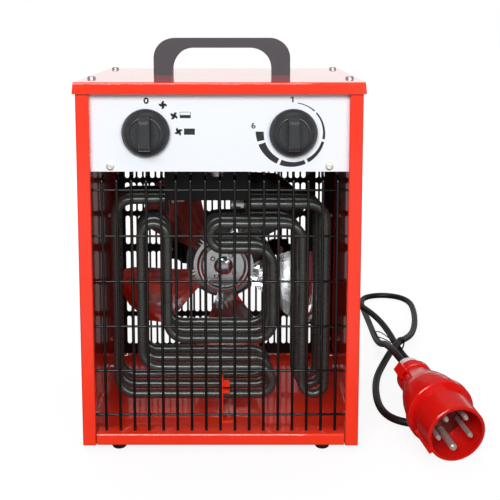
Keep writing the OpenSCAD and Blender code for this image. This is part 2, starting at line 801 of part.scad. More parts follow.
blade_faces = [
    for (i = [0 : blade_rings - 1], j = [0 : blade_chords - 1]) each [
        [at(false, i, j), at(false, i + 1, j + 1), at(false, i + 1, j)],
        [at(false, i, j), at(false, i, j + 1), at(false, i + 1, j + 1)],
        [at(true, i, j), at(true, i + 1, j), at(true, i + 1, j + 1)],
        [at(true, i, j), at(true, i + 1, j + 1), at(true, i, j + 1)]
    ],
    for (i = [0 : blade_rings - 1]) each [
        [at(false, i, 0), at(false, i + 1, 0), at(true, i + 1, 0), at(true, i, 0)],
        [at(false, i, blade_chords), at(true, i, blade_chords),
            at(true, i + 1, blade_chords), at(false, i + 1, blade_chords)]
    ],
    for (j = [0 : blade_chords - 1]) each [
        [at(false, 0, j), at(true, 0, j), at(true, 0, j + 1), at(false, 0, j + 1)],
        [at(false, blade_rings, j), at(false, blade_rings, j + 1),
            at(true, blade_rings, j + 1), at(true, blade_rings, j)]
    ]
];

// One pressing: a dished plate with a raised ring, and the blades bent up from its edge
module fan_blades() color("#c4c7cb") {
    translate([0, plate_y, fan_z]) {
        difference() {
            turned_y() polygon([
                [0, 0], [22.4, 0], [23.6, -1.6], [25, -2.9], [26.6, -3.2], [28, -2.4], [29.2, 0],
                [hub_r, 0], [hub_r, blade_t], [28.6, blade_t], [27.4, blade_t - 2.4],
                [26.4, blade_t - 3], [25.2, blade_t - 2.8], [24, blade_t - 1.6],
                [22.9, blade_t], [0, blade_t]
            ]);
            translate([0, -1, 0]) rod_y(shaft_d / 2 + touch / 4, 4);
            for (a = rivet_angles) rotate([0, a, 0]) translate([rivet_ring, -1, 0])
                rod_y(1.6 + screw_clear, 4);
        }
        for (b = [0 : blade_count - 1]) rotate([0, 12.5 - b * 360 / blade_count, 0])
            polyhedron(blade_points, blade_faces);
    }
}

// ---------------------------------------------------------------- controls

// Spindle that turns in a control's bushing and carries its knob
module spindle(x) color(bright_steel) {
    translate([x, spindle_front, knob_z]) rod_y(spindle_d / 2, fascia_back + 18 - spindle_front);
}

module selector_spindle() spindle(-knob_x);

module thermostat_spindle() spindle(knob_x);

// A knob: a domed skirt round a dished face, with a grip bar across it
module knob() {
    r = knob_d / 2;
    grip_l = knob_d * 0.7;
    difference() {
        union() {
            rotate_extrude() polygon([
                [0, 0], [r - 0.6, 0], [r, 0.6], [r, 2.6], [r - 0.8, 4.2], [r - 2.6, 6.4],
                [r - 5, 8.6], [r - 7, 10], [r - 7.8, 10.2], [r - 8.3, 9.9], [r - 8.6, 9.2], [0, 8.6]
            ]);
            intersection() {
                rotate([90, 0, 0]) translate([0, 0, -grip_l / 2]) linear_extrude(grip_l) polygon([
                    [-grip_w / 2 - 0.7, 6], [grip_w / 2 + 0.7, 6], [grip_w / 2, knob_h - 1.2],
                    [grip_w / 2 - 0.4, knob_h - 0.4], [grip_w / 2 - 1.3, knob_h],
                    [-grip_w / 2 + 1.3, knob_h], [-grip_w / 2 + 0.4, knob_h - 0.4],
                    [-grip_w / 2, knob_h - 1.2]
                ]);
                rotate([90, 0, 90]) translate([0, 0, -grip_w]) linear_extrude(2 * grip_w) polygon([
                    [-grip_l / 2, 6], [grip_l / 2, 6], [grip_l / 2 - 0.4, knob_h - 4],
                    [grip_l / 2 - 1.4, knob_h - 1.6], [grip_l / 2 - 3.4, knob_h - 0.4],
                    [grip_l / 2 - 6, knob_h], [-grip_l / 2 + 6, knob_h],
                    [-grip_l / 2 + 3.4, knob_h - 0.4], [-grip_l / 2 + 1.4, knob_h - 1.6],
                    [-grip_l / 2 + 0.4, knob_h - 4]
                ]);
            }
        }
        translate([0, 0, -1]) cylinder(r = spindle_d / 2 + touch / 4, h = 13.2);
    }
}

module placed_knob(x) color("#47484a") {
    translate([x, knob_back, knob_z]) rotate([90, 0, 0]) knob();
}

module selector_knob() placed_knob(-knob_x);

module thermostat_knob() placed_knob(knob_x);

// The threaded bushing of a control, and the hole through it for the spindle
module bushing(x) {
    translate([x, fascia_y - 0.4, knob_z]) rod_y(bushing_r, sheet_t + 1);
}

module spindle_bore(x) {
    translate([x, fascia_y - 3, knob_z]) rod_y(spindle_d / 2 + running, sheet_t + 3 + 20);
}

module rotary_switch() color("#232325") {
    difference() {
        union() {
            bushing(-knob_x);
            translate([-knob_x - 16, fascia_back, knob_z - 16]) cube([32, 9, 32]);
            translate([-knob_x, fascia_back + 9, knob_z]) rod_y(14.5, 18);
            for (k = [0 : 3]) translate([-knob_x - 12.4 + k * 7, fascia_back + 27, knob_z - 4])
                cube([0.8, 7, 6.3]);
        }
        spindle_bore(-knob_x);
    }
}

module thermostat() color("#8f6f4a") {
    difference() {
        union() {
            bushing(knob_x);
            translate([knob_x, fascia_back, knob_z]) rod_y(12, 5);
            translate([knob_x - 15, fascia_back + 5, knob_z - 20]) cube([30, 18, 40]);
            for (z = [-12, 8]) translate([knob_x - 3.2, fascia_back + 23, knob_z + z])
                cube([6.3, 7, 0.8]);
        }
        spindle_bore(knob_x);
    }
}

bulb_x = 60;
bulb_y = plate_y - 18;

// The sensing bulb below the divider, and its fine tube up to the thermostat
module thermostat_bulb() color("#b87a4b") {
    top = knob_z - 20 - 4;
    translate([bulb_x, bulb_y, 0]) rotate([0, 0, -90])
        tube_run([[0, divider_z - 8], [0, top], [bulb_y - fascia_back - 14, top],
            [bulb_y - fascia_back - 14, top + 4]], 3.5, 1.6);
    translate([bulb_x, bulb_y + 5, divider_z - 8]) rotate([90, 0, 0]) cylinder(r = 3.2, h = 62);
}

module thermal_cutout() color("#d0d2d4") {
    translate([-3, box_front - 10, divider_z]) rotate([180, 0, 0]) {
        cylinder(r = 8.5, h = 5.5);
        cylinder(r = 6.2, h = 8.7);
        translate([-13, -3, 0]) cube([26, 6, 0.8]);
    }
}

module terminal_block() color("#e8e4da") {
    for (i = [0 : 4]) translate([40 + i * 12, lead_y - 34, divider_top]) difference() {
        cube([11, 20, 16]);
        for (y = [5, 15]) translate([5.5, y, 4]) cylinder(r = 2.4, h = 13);
    }
}

// ---------------------------------------------------------------- lead inside the casing

gland_nut_l = 5;
lead_y = panel_y - 30;

// The lead between the gland and the control box
module inner_lead() color("#161616") {
    translate([gland_x, 0, 0]) rotate([0, 0, 90])
        tube_run([[lead_route[0].y - touch, gland_z], [lead_y, gland_z], [lead_y, divider_top + 6]], 24, lead_d);
}

module lead_grommet() color("#222222") {
    translate([gland_x, lead_y, 0]) difference() {
        union() {
            translate([0, 0, divider_z - 2]) cylinder(r = 8.5, h = 2);
            translate([0, 0, divider_z - 0.5]) cylinder(r = 6.4, h = sheet_t + 1);
            translate([0, 0, divider_top]) cylinder(r = 8.5, h = 2);
        }
        translate([0, 0, divider_z - 3]) cylinder(r = lead_d / 2 + lead_clear, h = 8);
    }
}

module gland_locknut() color("#2a2a2c") {
    translate([gland_x, panel_y, gland_z]) rotate([90, 0, 0]) nut(22, 8 + screw_clear, gland_nut_l);
}

// ---------------------------------------------------------------- lead, gland and plug

relief_y = gland_out_y + 18;
relief_l = 38;

module cable_gland() color("#2a2a2c") {
    translate([gland_x, 0, gland_z]) {
        difference() {
            union() {
                translate([0, panel_y - 8, 0]) rod_y(8, 8 + sheet_t);
                translate([0, gland_out_y, 0]) rotate([-90, 0, 0])
                    cylinder(r = 12.7, h = 6, $fn = 6);
                translate([0, gland_out_y + 6, 0]) turned_y() polygon([
                    [0, 0], [10.5, 0], [10.5, 8], [9.6, 10.6], [7.4, 12], [0, 12]
                ]);
            }
            translate([0, panel_y - 9, 0]) rod_y(lead_d / 2 + lead_clear, 40);
        }
    }
}

// The tapered sleeve that keeps the lead from kinking where it leaves the gland
module strain_relief() color("#1f1f20") {
    difference() {
        translate([gland_x, relief_y, gland_z]) turned_y() polygon([
            [0, 0], [7, 0], for (k = [0 : 7]) each [
                [6.9 - k * 0.22, k * 4.5 + 1.4], [6.9 - k * 0.22, k * 4.5 + 3],
                [6.1 - k * 0.22, k * 4.5 + 3.3], [6.1 - k * 0.22, k * 4.5 + 4.2]
            ], [4.8, relief_l], [0, relief_l]
        ]);
        translate([gland_x, relief_y - 1, gland_z]) rod_y(lead_d / 2 + lead_clear, 60);
    }
}

// The steering points, with one more beyond each end so that the curve ends on the last of them
lead_last = len(lead_route) - 1;
steering = concat([2 * lead_route[0] - lead_route[1]], lead_route,
    [2 * lead_route[lead_last] - lead_route[lead_last - 1]]);

// A point of the cubic spline that the steering points i to i + 3 shape, for f from 0 to 1
function spline(i, f) = (pow(1 - f, 3) * steering[i] + (3 * pow(f, 3) - 6 * f * f + 4) * steering[i + 1]
    + (3 * f * (1 + f - f * f) + 1) * steering[i + 2] + pow(f, 3) * steering[i + 3]) / 6;

lead_line = [for (i = [0 : lead_last - 1], f = [0, 0.5]) spline(i, f), lead_route[lead_last]];
lead_sides = 10;

// The direction of the lead at its point number i
function lead_way(i) = unit(lead_line[min(i + 1, len(lead_line) - 1)] - lead_line[max(i - 1, 0)]);

// One ring of points round the lead at its point number i
function lead_ring(i) =
    let (way = lead_way(i), side = unit(cross(way, [0, 0, 1])), up = cross(side, way))
    [for (k = [0 : lead_sides - 1])
        lead_line[i] + lead_d / 2 * (side * cos(k * 360 / lead_sides) + up * sin(k * 360 / lead_sides))];

module power_cord() color("#161616") {
    last = len(lead_line) - 1;
    polyhedron(
        [for (i = [0 : last]) each lead_ring(i)],
        [
            [for (k = [0 : lead_sides - 1]) k],
            for (i = [0 : last - 1], k = [0 : lead_sides - 1])
                let (next = (k + 1) % lead_sides, a = i * lead_sides, b = a + lead_sides)
                each [[a + k, b + k, b + next], [a + k, b + next, a + next]],
            [for (k = [lead_sides - 1 : -1 : 0]) last * lead_sides + k]
        ]
    );
}

// The outline round both strands where they cross, wider than them by gap
module tie_outline(gap) hull() {
    translate(tie_low) circle(r = lead_d / 2 + gap, $fn = 32);
    translate(tie_high) circle(r = lead_d / 2 + 1.1 + gap, $fn = 32);
}

module cord_tie() color("#101010") {
    along_y(tie_y, tie_y + 3) difference() {
        tie_outline(1.2);
        tie_outline(0.4);
    }
}

// Moves a piece drawn with the plug's mouth at the origin, and its axis along +Y into the plug
module at_plug() {
    translate(plug_mouth) rotate([0, 0, plug_yaw]) rotate([plug_dip, 0, 0]) children();
}

shroud_wall = 3;
shroud_r = shroud_d / 2;
cavity_r = shroud_r - shroud_wall;
carrier_depth = 36;

module plug_body() color("#e0302a") {
    at_plug() difference() {
        union() {
            turned_y() polygon([
                [0, 0], [shroud_r - 0.8, 0], [shroud_r, 0.8], [shroud_r, shroud_l],
                [plug_flange_d / 2 - 0.8, shroud_l], [plug_flange_d / 2, shroud_l + 0.8],
                [plug_flange_d / 2, shroud_l + 7], [plug_flange_d / 2 - 1, shroud_l + 8],
                [30.5, shroud_l + 9], [30, 52], [29, 60], [27.4, 68], [25, 76], [22, 84],
                [19.2, 92], [17.4, 98], [16.6, 102], [16.6, 105], [18, 105.6], [18, 112],
                [16.8, 113], [15.2, 114], [15.2, plug_l], [0, plug_l]
            ]);
            rotate([0, 150, 0]) translate([shroud_r - 1, 0, -3]) cube([4, shroud_l - 6, 6]);
            rotate([0, 215, 0]) translate([16, 96, -5]) difference() {
                cube([8, 16, 10]);
                translate([2.5, -1, 2]) cube([3, 18, 6]);
            }
        }
        translate([0, -1, 0]) rod_y(cavity_r, carrier_depth + 1);
        translate([0, carrier_depth - 1, 0]) rod_y(cavity_r - 2, 22);
    }
}

pin_angles = [for (k = [0 : 4]) 90 + k * 72];

// The carrier that the pins are set in
module plug_insert() color("#a3201f") {
    at_plug() difference() {
        translate([0, carrier_depth, 0]) turned_y() polygon([
            [0, 0], [cavity_r - 2 - touch, 0], [cavity_r - 2 - touch, 20.8], [0, 20.8]
        ]);
        for (k = [0 : 4]) rotate([0, pin_angles[k], 0])
            translate([pin_circle_d / 2, carrier_depth - 1, 0]) rod_y(pin_radius(k) + touch / 2, 16);
    }
}

function pin_radius(k) = (k == 0 ? earth_pin_d : pin_d) / 2;

module plug_pins() color("#cfd1d3") {
    at_plug() for (k = [0 : 4]) rotate([0, pin_angles[k], 0])
        translate([pin_circle_d / 2, 0, 0]) turned_y() {
            r = pin_radius(k);
            polygon([
                [0, 3], [r * 0.6, 3], [r, 5], [r, carrier_depth + 14], [0, carrier_depth + 14]
            ]);
        }
}

module plug_gland_nut() color("#ececea") {
    at_plug() difference() {
        translate([0, plug_l, 0]) union() {
            rotate([-90, 0, 0]) cylinder(r = plug_nut_r, h = 9, $fn = 12);
            translate([0, 9, 0]) turned_y() polygon([
                [0, 0], [12, 0], [11, 4], [8.6, plug_nut_l - 9], [0, plug_nut_l - 9]
            ]);
        }
        translate([0, plug_l + 2, 0]) rod_y(lead_d / 2 + lead_clear, 30);
    }
}

left_side();
right_side();
base_tray();
top_cover();
rear_grille();
control_fascia();
divider_plate();
front_grille();
handle();
handle_screws();
cover_screws();
fascia_screws();
side_screws();
rear_screws();
feet();
heating_element_front();
heating_element_middle();
heating_element_rear();
terminal_housing();
element_nuts();
element_pins();
element_support();
support_screws();
motor();
motor_bracket();
motor_screws();
motor_shaft();
fan_hub();
fan_blades();
fan_rivets();
fan_cap();
rotary_switch();
selector_spindle();
selector_knob();
thermostat();
thermostat_spindle();
thermostat_knob();
thermostat_bulb();
thermal_cutout();
terminal_block();
inner_lead();
lead_grommet();
cable_gland();
gland_locknut();
strain_relief();
power_cord();
cord_tie();
plug_body();
plug_insert();
plug_pins();
plug_gland_nut();
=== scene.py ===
# %% [markdown]
# # A portable electric fan heater
#
# The heater is a folded steel box with three tubular elements and a fan behind a wire grille, a
# control panel with two knobs, a carrying handle, and a lead with an industrial plug. Its shapes
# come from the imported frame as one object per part. This script gives them their finishes, adds
# what is printed on the panel, replaces the lead and its tie by smooth curves, and sets up the
# camera and the light.

# %% Load the frame
import json
import math

import bmesh
import bpy
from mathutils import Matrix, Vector


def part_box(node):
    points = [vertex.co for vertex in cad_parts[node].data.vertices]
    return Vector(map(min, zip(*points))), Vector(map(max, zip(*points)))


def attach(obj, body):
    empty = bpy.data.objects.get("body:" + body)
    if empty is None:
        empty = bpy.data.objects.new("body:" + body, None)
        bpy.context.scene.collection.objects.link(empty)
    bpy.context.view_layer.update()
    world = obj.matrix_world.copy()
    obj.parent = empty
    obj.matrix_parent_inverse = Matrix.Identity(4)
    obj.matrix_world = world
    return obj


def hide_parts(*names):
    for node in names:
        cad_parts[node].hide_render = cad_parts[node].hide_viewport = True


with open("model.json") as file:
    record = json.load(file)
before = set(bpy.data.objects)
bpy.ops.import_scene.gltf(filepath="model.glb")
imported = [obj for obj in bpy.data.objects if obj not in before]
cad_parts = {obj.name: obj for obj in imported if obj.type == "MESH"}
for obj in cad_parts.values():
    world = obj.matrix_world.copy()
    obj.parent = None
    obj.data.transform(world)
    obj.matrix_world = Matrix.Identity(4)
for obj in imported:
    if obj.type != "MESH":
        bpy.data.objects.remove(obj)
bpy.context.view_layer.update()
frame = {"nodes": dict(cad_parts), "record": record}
MM = 0.001


def middle(node):
    """The middle of a part's box."""
    low, high = (Vector(corner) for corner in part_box(node))
    return (low + high) / 2


# %% [markdown]
# ## Camera
#
# A product shot of a box is taken from far enough away that its sides hardly run together, and
# from above the top cover so that the cover shows as a thin band. The lens is shifted as well as
# tilted, as an architect's camera is: a tilt by itself would make the box narrow downwards.

# %% Camera
CAMERA_X = 21
CAMERA_DISTANCE = 870
CAMERA_HEIGHT = 405.8
CAMERA_TILT = 7.96
front_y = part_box("right_side")[0][1]
camera_data = bpy.data.cameras.new("camera")
camera = bpy.data.objects.new("camera", camera_data)
bpy.context.scene.collection.objects.link(camera)
bpy.context.scene.camera = camera
camera.location = (CAMERA_X * MM, front_y - CAMERA_DISTANCE * MM, CAMERA_HEIGHT * MM)
camera.rotation_euler = (math.radians(90 - CAMERA_TILT), 0, 0)
camera_data.sensor_width = 36
camera_data.lens = 69.87
camera_data.shift_x = 0.0146
camera_data.shift_y = -0.19
camera_data.clip_end = 50
print("camera at", tuple(round(x, 3) for x in camera.location))

# %% [markdown]
# ## The lead
#
# The mains lead leaves the back through a gland and a tapered sleeve, curves down to the floor,
# makes two long loops that a wire tie holds where they cross, and ends in the plug. A cubic spline
# through listed steering points keeps every bend gentler than the cable's limit, so the curve
# is computed here from the same points as in the solid model and given a round bevel.

# %% The lead's curve
LEAD_D = 7.8 * MM
STEERING = [
    (100, 131, 74.22), (100, 158, 74.22), (100, 200, 74.22), (103, 220, 71.5), (115, 245, 63),
    (139, 263, 49), (167, 266, 34), (192, 253, 21.5), (205, 226, 12.5), (210, 190, 7.2),
    (212, 150, 5.4), (218, 110, 4.9), (230, 62, 4.1), (236, 14, 4.1), (236, -30, 4.1),
    (225.5, -55.5, 4.1), (200, -66, 4.1), (174.5, -55.5, 4.1), (164, -30, 4.1), (164, 10, 4.1),
    (171, 62, 4.1), (185, 102, 5.5), (203, 137, 16.2), (218, 166, 14), (238, 210, 4.6),
    (253, 270, 4.1), (260, 328, 4.1), (261, 362, 4.1), (250.5, 387.5, 4.1), (225, 398, 4.1),
    (199.5, 387.5, 4.1), (189, 362, 4.1), (190, 310, 4.1), (190, 247, 4.1), (189, 190, 5.5),
    (187, 134, 19), (184, 86, 37), (183, 43, 48), (187.9, 14, 48.1), (195.1, -23.2, 43.3),
]


def spline_points(steering, per_span):
    """Points along the uniform cubic spline that starts and ends on its outer steering points."""
    p = [Vector(s) * MM for s in steering]
    p = [2 * p[0] - p[1], *p, 2 * p[-1] - p[-2]]
    line = []
    for i in range(len(p) - 3):
        for k in range(per_span):
            f = k / per_span
            line.append((
                (1 - f) ** 3 * p[i] + (3 * f**3 - 6 * f**2 + 4) * p[i + 1]
                + (3 * f * (1 + f - f * f) + 1) * p[i + 2] + f**3 * p[i + 3]
            ) / 6)
    return [*line, p[-2]]


def tube(name, line, radius, sides=8):
    """A round tube along a line of points, as a curve of one open spline."""
    data = bpy.data.curves.new(name, "CURVE")
    data.dimensions = "3D"
    data.bevel_depth = 1.0
    data.bevel_resolution = sides // 2
    data.use_fill_caps = True
    spline = data.splines.new("POLY")
    spline.points.add(len(line) - 1)
    for point, place in zip(spline.points, line):
        point.co = (*place, 1)
        point.radius = radius
    spline.use_smooth = True
    piece = bpy.data.objects.new(name, data)
    bpy.context.scene.collection.objects.link(piece)
    return piece


lead_line = spline_points(STEERING, 5)
lead = tube("lead_sheath", lead_line, LEAD_D / 2, 12)
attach(lead, "heater")
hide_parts("power_cord")

# %% [markdown]
# ## The wire tie
#
# A plastic-covered wire holds the lead's loops together. Three turns go round two strands that lie
# one above the other, so each turn is an oval that leans with them. The wire's free end makes a
# slack loop to the left, clear of the third strand, where someone twisted it shut.

# %% The wire tie
WIRE_D = 1.2 * MM
TURNS = 3
TURN_STEPS = 12
TURN_PITCH = 1.2
TURNS_START_Y = 156.2
PAIR_X, PAIR_Z = 212.9, 10.3
OVAL_X, OVAL_Z = 5.9, 9.6
PAIR_LEAN = 0.2
TIE_END = [
    (206.2, 160, 13.6), (202.6, 160, 17), (197, 159.8, 21), (191, 159.4, 25.4), (186, 159, 27.6),
    (182.4, 158.6, 25.4), (184.6, 158, 21.2), (191, 157.4, 19.2), (197, 156.8, 17),
    (203, 156.2, 13.2),
]
tie_route = []
for step in range(TURNS * TURN_STEPS + 1):
    angle = math.radians(180 - 360 / TURN_STEPS * step)
    across, up = OVAL_X * math.cos(angle), OVAL_Z * math.sin(angle)
    tie_route.append((
        PAIR_X + across + PAIR_LEAN * up, TURNS_START_Y + step * TURN_PITCH / TURN_STEPS,
        PAIR_Z + up))
tie = tube("tie_wire", spline_points(tie_route + TIE_END, 3), WIRE_D / 2, 6)
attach(tie, "heater")
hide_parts("cord_tie")
print("the tie has", len(tie.data.splines[0].points), "points")

# %% [markdown]
# ## Helpers for the finishes
#
# A finish is one Principled shader with a few texture nodes before it. Colours are written as the
# sRGB hex values a paint maker gives, and turned to linear light here. Patterns are measured in
# millimetres on the object, so their scale is one over that length.

# %% Helpers for the finishes
FINISHES = {}


def colour(hex_value):
    """An sRGB hex value as linear RGBA."""
    channels = [int(hex_value[i:i + 2], 16) / 255 for i in (1, 3, 5)]
    linear = [c / 12.92 if c <= 0.04045 else ((c + 0.055) / 1.055) ** 2.4 for c in channels]
    return (*linear, 1.0)


def per_mm(length):
    """Texture scale for features of that many millimetres, in a space measured in metres."""
    return 1000 / length


def add(tree, kind, links=None, **settings):
    """A node with its settings, and with values or other nodes' sockets on its inputs."""
    made = tree.nodes.new(kind)
    for key, value in settings.items():
        setattr(made, key, value)
    for key, value in (links or {}).items():
        if isinstance(value, bpy.types.NodeSocket):
            tree.links.new(value, made.inputs[key])
        else:
            made.inputs[key].default_value = value
    return made


def finish(slot, name, **sockets):
    """A new material for one of the record's slots; returns its tree, shader and object space."""
    made = bpy.data.materials.new(name)
    made.use_nodes = True
    tree = made.node_tree
    shader = tree.nodes["Principled BSDF"]
    for key, value in sockets.items():
        shader.inputs[key.replace("_", " ")].default_value = value
    space = add(tree, "ShaderNodeTexCoord").outputs["Object"]
    FINISHES[slot] = made
    print(f"{slot}: {name}")
    return tree, shader, space


def vary(tree, shader, value, socket, low, high):
    """A shader input that follows a texture between two values or two colours."""
    if isinstance(low, str):
        # A colour mix has its two colours on inputs 6 and 7, and its result on output 2.
        mix = add(
            tree, "ShaderNodeMix", {0: value, 6: colour(low), 7: colour(high)}, data_type="RGBA")
        tree.links.new(mix.outputs[2], shader.inputs[socket])
    else:
        span = add(tree, "ShaderNodeMapRange", {"Value": value, "To Min": low, "To Max": high})
        tree.links.new(span.outputs["Result"], shader.inputs[socket])


def relief(tree, shader, value, depth, strength, sockets=("Normal",)):
    """Fine relief that follows a texture, drawn with a bump of that depth in millimetres."""
    bump = add(tree, "ShaderNodeBump", {
        "Height": value, "Strength": strength, "Distance": depth * MM})
    for socket in sockets:
        tree.links.new(bump.outputs["Normal"], shader.inputs[socket])


# %% [markdown]
# ## Red enamel
#
# The casing is sheet steel with a glossy stoved enamel. What gives such paint away is its skin:
# the film levels into shallow waves a millimetre or two across, which bend each reflection a
# little, under a surface that is otherwise as smooth as glass. A clear coat over the colour gives
# the mirror-like top, and the colour itself drifts very slightly with the film's thickness.

# %% Red enamel
tree, shader, space = finish(
    "red_paint", "Stoved enamel, signal red", Roughness=0.22, Specular_IOR_Level=0.25,
    Coat_Weight=1.0, Coat_Roughness=0.03)
drift = add(tree, "ShaderNodeTexNoise", {"Vector": space, "Scale": per_mm(90), "Detail": 2.0})
vary(tree, shader, drift.outputs["Fac"], "Base Color", "#F82E10", "#FD3819")
waves = add(tree, "ShaderNodeTexNoise", {"Vector": space, "Scale": per_mm(2.5), "Detail": 1.0})
relief(tree, shader, waves.outputs["Fac"], 0.02, 0.25, ("Normal", "Coat Normal"))

# %% [markdown]
# ## Black coatings
#
# The wire grille is dipped, and on round wire a dip coat pools into a smooth glossy skin, so each
# wire carries one crisp highlight along its length. The rear panel and the sheet metal inside are
# sprayed with a thinner satin black, which swallows most of what it could mirror.

# %% Black coatings
for slot, name, hex_value, coat, gloss, low, high in (
    ("dipped_wire", "Dipped gloss coating, black", "#050505", 1.0, 0.0, 0.20, 0.30),
    ("black_paint", "Sprayed satin paint, black", "#060607", 0.0, 0.25, 0.30, 0.42),
):
    tree, shader, space = finish(
        slot, name, Coat_Weight=coat, Coat_Roughness=0.05, Specular_IOR_Level=gloss)
    shader.inputs["Base Color"].default_value = colour(hex_value)
    pooling = add(tree, "ShaderNodeTexNoise", {"Vector": space, "Scale": per_mm(6), "Detail": 2.0})
    vary(tree, shader, pooling.outputs["Fac"], "Roughness", low, high)
    relief(tree, shader, pooling.outputs["Fac"], 0.05, 0.2)

# %% [markdown]
# ## Panel paint
#
# The control panel is painted a cool off-white with a satin face, so that the black printing on it
# reads from any side. The grain of a satin powder coat is finer than a millimetre.

# %% Panel paint
tree, shader, space = finish("fascia_paint", "Satin powder coat, cool white")
shader.inputs["Base Color"].default_value = colour("#EDF1F7")
grain = add(tree, "ShaderNodeTexNoise", {"Vector": space, "Scale": per_mm(0.8), "Detail": 2.0})
vary(tree, shader, grain.outputs["Fac"], "Roughness", 0.34, 0.46)
relief(tree, shader, grain.outputs["Fac"], 0.02, 0.15)

# %% [markdown]
# ## Moulded plastics
#
# The handle is glass-filled nylon from a spark-eroded mould, whose fine pits give it an even matt
# grain. The knobs are a smoother black that catches a soft highlight along the grip bar.

# %% Moulded plastics
for slot, name, hex_value, pit, low, high in (
    ("handle_plastic", "Glass-filled nylon, charcoal", "#3B3F45", 0.7, 0.42, 0.58),
    ("knob_plastic", "ABS, satin charcoal", "#333537", 0.5, 0.24, 0.36),
    ("switch_plastic", "Phenolic moulding, black", "#1B1B1C", 0.6, 0.35, 0.50),
):
    tree, shader, space = finish(slot, name)
    shader.inputs["Base Color"].default_value = colour(hex_value)
    pits = add(tree, "ShaderNodeTexNoise", {"Vector": space, "Scale": per_mm(pit), "Detail": 3.0})
    vary(tree, shader, pits.outputs["Fac"], "Roughness", low, high)
    relief(tree, shader, pits.outputs["Fac"], 0.03, 0.3)

# %% [markdown]
# ## Rubber
#
# The feet and the lead's sheath are black rubber: dark, with a broad dull sheen rather than a
# highlight. The sheath is extruded over the cores, whose lay shows as a faint slow wave. The wire
# tie's plastic cover is as dull and as dark, so it shares the recipe.

# %% Rubber
for slot, name, hex_value, wave in (
    ("foot_rubber", "Moulded rubber, black", "#161616", 1.0),
    ("lead_rubber", "Extruded rubber sheath, black", "#0E0E0F", 2.0),
    ("tie_plastic", "Plastic-covered wire, black", "#101010", 0.8),
):
    tree, shader, space = finish(slot, name)
    shader.inputs["Base Color"].default_value = colour(hex_value)
    uneven = add(tree, "ShaderNodeTexNoise", {
        "Vector": space, "Scale": per_mm(wave), "Detail": 2.0})
    vary(tree, shader, uneven.outputs["Fac"], "Roughness", 0.38, 0.55)
    relief(tree, shader, uneven.outputs["Fac"], 0.05, 0.2)

# %% [markdown]
# ## Element tube
#
# A tubular element is a steel sheath packed with powder round a resistance wire, then annealed in
# a furnace. That leaves a grey-green oxide, satin, clouded over some 15 mm, with fine specks that
# are a little smoother. Oxide isn't a metal and steel is, so a value between them is set.

# %% Element tube
tree, shader, space = finish("element_steel", "Annealed element tube, oxidised", Metallic=0.6)
clouds = add(tree, "ShaderNodeTexNoise", {"Vector": space, "Scale": per_mm(15), "Detail": 5.0})
vary(tree, shader, clouds.outputs["Fac"], "Base Color", "#454846", "#626562")
specks = add(tree, "ShaderNodeTexNoise", {
    "Vector": space, "Scale": per_mm(1.2), "Detail": 2.0})
vary(tree, shader, specks.outputs["Fac"], "Roughness", 0.22, 0.34)

# %% [markdown]
# ## Bright metals
#
# The fan is pressed from bright rolled aluminium, the screws are zinc-plated steel, and the plug's
# pins are nickel-plated brass. Fine scratches only blur what a metal mirrors, so these differ in
# colour and in how rough that blur is. Real nickel is a full metal. The pins are set a little
# below that: in the plug's deep red mouth a full metal mirrors almost only the shroud, and
# they would look too dark.

# %% Bright metals
for slot, name, hex_value, metal, scratch, low, high in (
    ("polished_aluminium", "Bright rolled aluminium", "#E2E4E6", 1.0, 12.0, 0.15, 0.21),
    ("zinc_plate", "Zinc-plated steel", "#D2D4D6", 1.0, 0.8, 0.34, 0.48),
    ("nickel_plate", "Nickel-plated brass", "#F4F1EA", 0.8, 0.8, 0.30, 0.42),
    ("motor_case", "Lacquered die casting", "#7C7F84", 1.0, 2.0, 0.35, 0.50),
    ("brass_nut", "Turned brass", "#B08A45", 1.0, 1.0, 0.25, 0.40),
    ("copper", "Drawn copper", "#A9673E", 1.0, 1.0, 0.25, 0.40),
):
    tree, shader, space = finish(slot, name, Metallic=metal)
    shader.inputs["Base Color"].default_value = colour(hex_value)
    scratches = add(tree, "ShaderNodeTexNoise", {
        "Vector": space, "Scale": per_mm(scratch), "Detail": 3.0, "Distortion": 0.4})
    vary(tree, shader, scratches.outputs["Fac"], "Roughness", low, high)

# %% [markdown]
# ## Ceramic, plug plastic and nylon
#
# The beads and terminal blocks are unglazed steatite, off-white and dry. The plug is glossy
# polyamide, and light goes a little way into it, which warms its shadows. Its gland nut is natural
# nylon, milky and translucent. The insert in the plug's mouth gets a darker red as painted shade.

# %% Ceramic, plug plastic and nylon
tree, shader, space = finish("white_ceramic", "Steatite, unglazed", Roughness=0.55)
firing = add(tree, "ShaderNodeTexNoise", {"Vector": space, "Scale": per_mm(3), "Detail": 3.0})
vary(tree, shader, firing.outputs["Fac"], "Base Color", "#EFEDE7", "#FAF8F3")
for slot, name, hex_value, low, high, depth, through in (
    ("plug_red", "Polyamide, glossy red", "#D6140F", 0.14, 0.22, 1.5, 0.0),
    # The insert's colour is a red darkened as painted shade, standing in for the shade deep in the
    # plug's mouth.
    ("insert_red", "Polyamide, red darkened as painted shade", "#5E0F0F", 0.35, 0.45, 1.0, 0.0),
    ("clear_nylon", "Natural nylon, milky", "#F7F6F3", 0.25, 0.40, 4.0, 0.25),
):
    tree, shader, space = finish(
        slot, name, Subsurface_Weight=0.2, Subsurface_Scale=depth * MM,
        Transmission_Weight=through)
    shader.inputs["Base Color"].default_value = colour(hex_value)
    flow = add(tree, "ShaderNodeTexNoise", {"Vector": space, "Scale": per_mm(5), "Detail": 2.0})
    vary(tree, shader, flow.outputs["Fac"], "Roughness", low, high)

# %% [markdown]
# ## Printing on the control panel
#
# The scales round the knobs are screen printed: ink pushed through a mesh lies some hundredths of
# a millimetre proud of the paint. Every mark here is a band between two lines of points, such as
# the two edges of an arc or of a stroke, which one helper turns into a thin solid.

